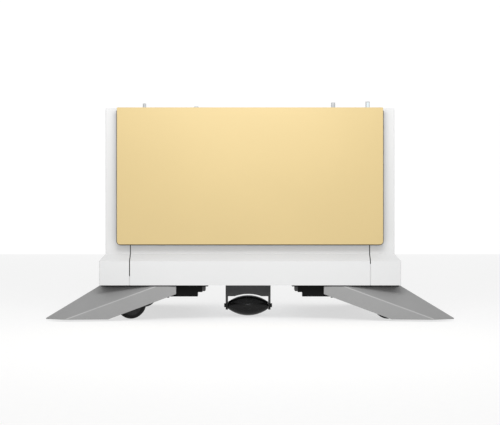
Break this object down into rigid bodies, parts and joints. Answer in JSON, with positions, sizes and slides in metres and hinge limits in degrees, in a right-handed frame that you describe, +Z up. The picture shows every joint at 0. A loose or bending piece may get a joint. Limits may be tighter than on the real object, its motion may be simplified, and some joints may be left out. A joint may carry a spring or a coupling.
{
  "type": "large format plotter",
  "caption": "Floor-standing roll-fed large format plotter: white bevelled cabinet, gold lift-up door, splayed grey legs, swivel casters and a centre support roller.",
  "frame": {"origin": "on the floor, under the middle of the machine's footprint", "axes": "+X to the operator's right along the cabinet, -Y towards the operator at the front door, +Z up"},
  "size_m": [1.75, 0.84, 0.965],
  "materials": {
    "cabinet_white": "fine satin white paint",
    "door_gold": "satin pale gold paint with a fine grain",
    "leg_grey": "satin mid-grey powder coat",
    "black_steel": "black powder coat",
    "dark_grey_steel": "dark grey satin paint",
    "fork_black": "black satin paint",
    "caster_tyre": "black tyre band and dark grey disc",
    "roller_black": "semi-gloss black nylon",
    "cap_grey": "moulded dark grey",
    "galvanised": "zinc plated sheet",
    "aluminium": "anodised satin",
    "spindle_steel": "turned steel with dark flanges",
    "engine_black": "fine moulded texture",
    "head_grey": "moulded grey",
    "belt_rubber": "toothed rubber",
    "pulley_steel": "turned",
    "feed_rubber": "ground rubber on steel",
    "media_paper": "uncoated white paper",
    "control_grey": "light grey enamel",
    "button_grey": "satin moulded light grey",
    "stop_grey": "satin moulded light grey",
    "beacon_lens": "light grey housing with a frosted light bar",
    "ink_black": "black moulding",
    "ink_cyan": "cyan moulding",
    "ink_magenta": "magenta moulding",
    "ink_yellow": "yellow moulding"
  },
  "bodies": {
    "cabinet": {"base_plates": "black_steel", "base_tray": "galvanised", "button_housing": "engine_black", "carriage_beam": "aluminium", "carriage_belt": "belt_rubber", "clamp_end_caps": "cap_grey", "control_unit": "control_grey", "drive_motors": "engine_black", "exit_guide": "aluminium", "front_cover": "cabinet_white", "front_top_rail": "dark_grey_steel", "ink_rack": "engine_black", "leg_clamps": "black_steel", "leg_front_left": "leg_grey", "leg_front_right": "leg_grey", "leg_rear_left": "leg_grey", "leg_rear_right": "leg_grey", "mains_panel": "engine_black", "pinch_bar": "black_steel", "platen": "aluminium", "rear_cover": "cabinet_white", "roller_bracket": "dark_grey_steel", "service_station": "engine_black", "side_cover_left": "cabinet_white", "side_cover_right": "cabinet_white", "side_plate_left": "galvanised", "side_plate_right": "galvanised", "spindle_bearings": "black_steel", "status_beacon": "beacon_lens", "stop_rail": "aluminium", "top_cover": "cabinet_white"},
    "caster_swivel_front_left": {"caster_fork_front_left": "fork_black"},
    "caster_pair_front_left": {"caster_wheels_front_left": "caster_tyre"},
    "caster_swivel_front_right": {"caster_fork_front_right": "fork_black"},
    "caster_pair_front_right": {"caster_wheels_front_right": "caster_tyre"},
    "caster_swivel_rear_left": {"caster_fork_rear_left": "fork_black"},
    "caster_pair_rear_left": {"caster_wheels_rear_left": "caster_tyre"},
    "caster_swivel_rear_right": {"caster_fork_rear_right": "fork_black"},
    "caster_pair_rear_right": {"caster_wheels_rear_right": "caster_tyre"},
    "support_roller": {"centre_roller": "roller_black"},
    "door": {"front_door": "door_gold", "door_liner": "galvanised"},
    "print_carriage": {"carriage": "engine_black", "print_heads": "head_grey"},
    "drive_pulley_body": {"drive_pulley": "pulley_steel"},
    "idler_pulley_body": {"idler_pulley": "pulley_steel"},
    "feed": {"feed_roller": "feed_rubber"},
    "pinch": {"pinch_rollers": "feed_rubber"},
    "upper_roll": {"media_roll_upper": "media_paper", "spindle_upper": "spindle_steel"},
    "lower_roll": {"media_roll_lower": "media_paper", "spindle_lower": "spindle_steel"},
    "black_ink": {"ink_cartridge_black": "ink_black"},
    "cyan_ink": {"ink_cartridge_cyan": "ink_cyan"},
    "magenta_ink": {"ink_cartridge_magenta": "ink_magenta"},
    "yellow_ink": {"ink_cartridge_yellow": "ink_yellow"},
    "left_stop": {"edge_stop_left": "stop_grey"},
    "right_stop": {"edge_stop_right": "stop_grey"},
    "button": {"release_button": "button_grey"},
    "rocker": {"power_rocker": "engine_black"}
  },
  "joints": [
    {"name": "swivel_front_left", "type": "hinge", "parent": "cabinet", "child": "caster_swivel_front_left", "pos_m": [-0.563, -0.276, 0.1375], "axis": [0, 0, 1], "continuous": true},
    {"name": "wheel_front_left", "type": "hinge", "parent": "caster_swivel_front_left", "child": "caster_pair_front_left", "pos_m": [-0.522, -0.276, 0.0625], "axis": [0, 1, 0], "continuous": true},
    {"name": "swivel_front_right", "type": "hinge", "parent": "cabinet", "child": "caster_swivel_front_right", "pos_m": [0.563, -0.276, 0.1375], "axis": [0, 0, 1], "continuous": true},
    {"name": "wheel_front_right", "type": "hinge", "parent": "caster_swivel_front_right", "child": "caster_pair_front_right", "pos_m": [0.604, -0.276, 0.0625], "axis": [0, 1, 0], "continuous": true},
    {"name": "swivel_rear_left", "type": "hinge", "parent": "cabinet", "child": "caster_swivel_rear_left", "pos_m": [-0.563, 0.276, 0.1375], "axis": [0, 0, 1], "continuous": true},
    {"name": "wheel_rear_left", "type": "hinge", "parent": "caster_swivel_rear_left", "child": "caster_pair_rear_left", "pos_m": [-0.522, 0.276, 0.0625], "axis": [0, 1, 0], "continuous": true},
    {"name": "swivel_rear_right", "type": "hinge", "parent": "cabinet", "child": "caster_swivel_rear_right", "pos_m": [0.563, 0.276, 0.1375], "axis": [0, 0, 1], "continuous": true},
    {"name": "wheel_rear_right", "type": "hinge", "parent": "caster_swivel_rear_right", "child": "caster_pair_rear_right", "pos_m": [0.604, 0.276, 0.0625], "axis": [0, 1, 0], "continuous": true},
    {"name": "roller_spin", "type": "hinge", "parent": "cabinet", "child": "support_roller", "pos_m": [-0.0086, -0.153, 0.0457], "axis": [1, 0, 0], "continuous": true},
    {"name": "door_hinge", "type": "hinge", "parent": "cabinet", "child": "door", "pos_m": [0, -0.362, 0.906], "axis": [-1, 0, 0], "range_deg": [0, 85]},
    {"name": "carriage_travel", "type": "slide", "parent": "cabinet", "child": "print_carriage", "axis": [-1, 0, 0], "range_m": [0, 1.09]},
    {"name": "drive_pulley_spin", "type": "hinge", "parent": "cabinet", "child": "drive_pulley_body", "pos_m": [0.602, 0.08, 0.816], "axis": [0, 1, 0], "continuous": true},
    {"name": "idler_pulley_spin", "type": "hinge", "parent": "cabinet", "child": "idler_pulley_body", "pos_m": [-0.602, 0.08, 0.816], "axis": [0, 1, 0], "continuous": true},
    {"name": "feed_spin", "type": "hinge", "parent": "cabinet", "child": "feed", "pos_m": [0, -0.078, 0.697], "axis": [1, 0, 0], "continuous": true},
    {"name": "pinch_spin", "type": "hinge", "parent": "cabinet", "child": "pinch", "pos_m": [0, -0.078, 0.7193], "axis": [1, 0, 0], "continuous": true},
    {"name": "upper_roll_spin", "type": "hinge", "parent": "cabinet", "child": "upper_roll", "pos_m": [0, 0, 0.6], "axis": [1, 0, 0], "continuous": true},
    {"name": "lower_roll_spin", "type": "hinge", "parent": "cabinet", "child": "lower_roll", "pos_m": [0, 0, 0.45], "axis": [1, 0, 0], "continuous": true},
    {"name": "black_ink_slide", "type": "slide", "parent": "cabinet", "child": "black_ink", "axis": [0, -1, 0], "range_m": [0, 0.1]},
    {"name": "cyan_ink_slide", "type": "slide", "parent": "cabinet", "child": "cyan_ink", "axis": [0, -1, 0], "range_m": [0, 0.1]},
    {"name": "magenta_ink_slide", "type": "slide", "parent": "cabinet", "child": "magenta_ink", "axis": [0, -1, 0], "range_m": [0, 0.1]},
    {"name": "yellow_ink_slide", "type": "slide", "parent": "cabinet", "child": "yellow_ink", "axis": [0, -1, 0], "range_m": [0, 0.1]},
    {"name": "left_stop_slide", "type": "slide", "parent": "cabinet", "child": "left_stop", "axis": [1, 0, 0], "range_m": [-0.02, 0.44]},
    {"name": "right_stop_slide", "type": "slide", "parent": "cabinet", "child": "right_stop", "axis": [1, 0, 0], "range_m": [-0.34, 0.115]},
    {"name": "button_press", "type": "slide", "parent": "cabinet", "child": "button", "axis": [0, 0, -1], "range_m": [0, 0.003], "stiffness_N_per_m": 300, "springref_m": -0.002},
    {"name": "rocker_tilt", "type": "hinge", "parent": "cabinet", "child": "rocker", "pos_m": [-0.38, 0.372, 0.212], "axis": [-1, 0, 0], "range_deg": [0, 20]}
  ],
  "couplings": [
    {"joint": "drive_pulley_spin", "follows": "carriage_travel", "rad_per_m": 78.125},
    {"joint": "idler_pulley_spin", "follows": "carriage_travel", "rad_per_m": 78.125}
  ]
}
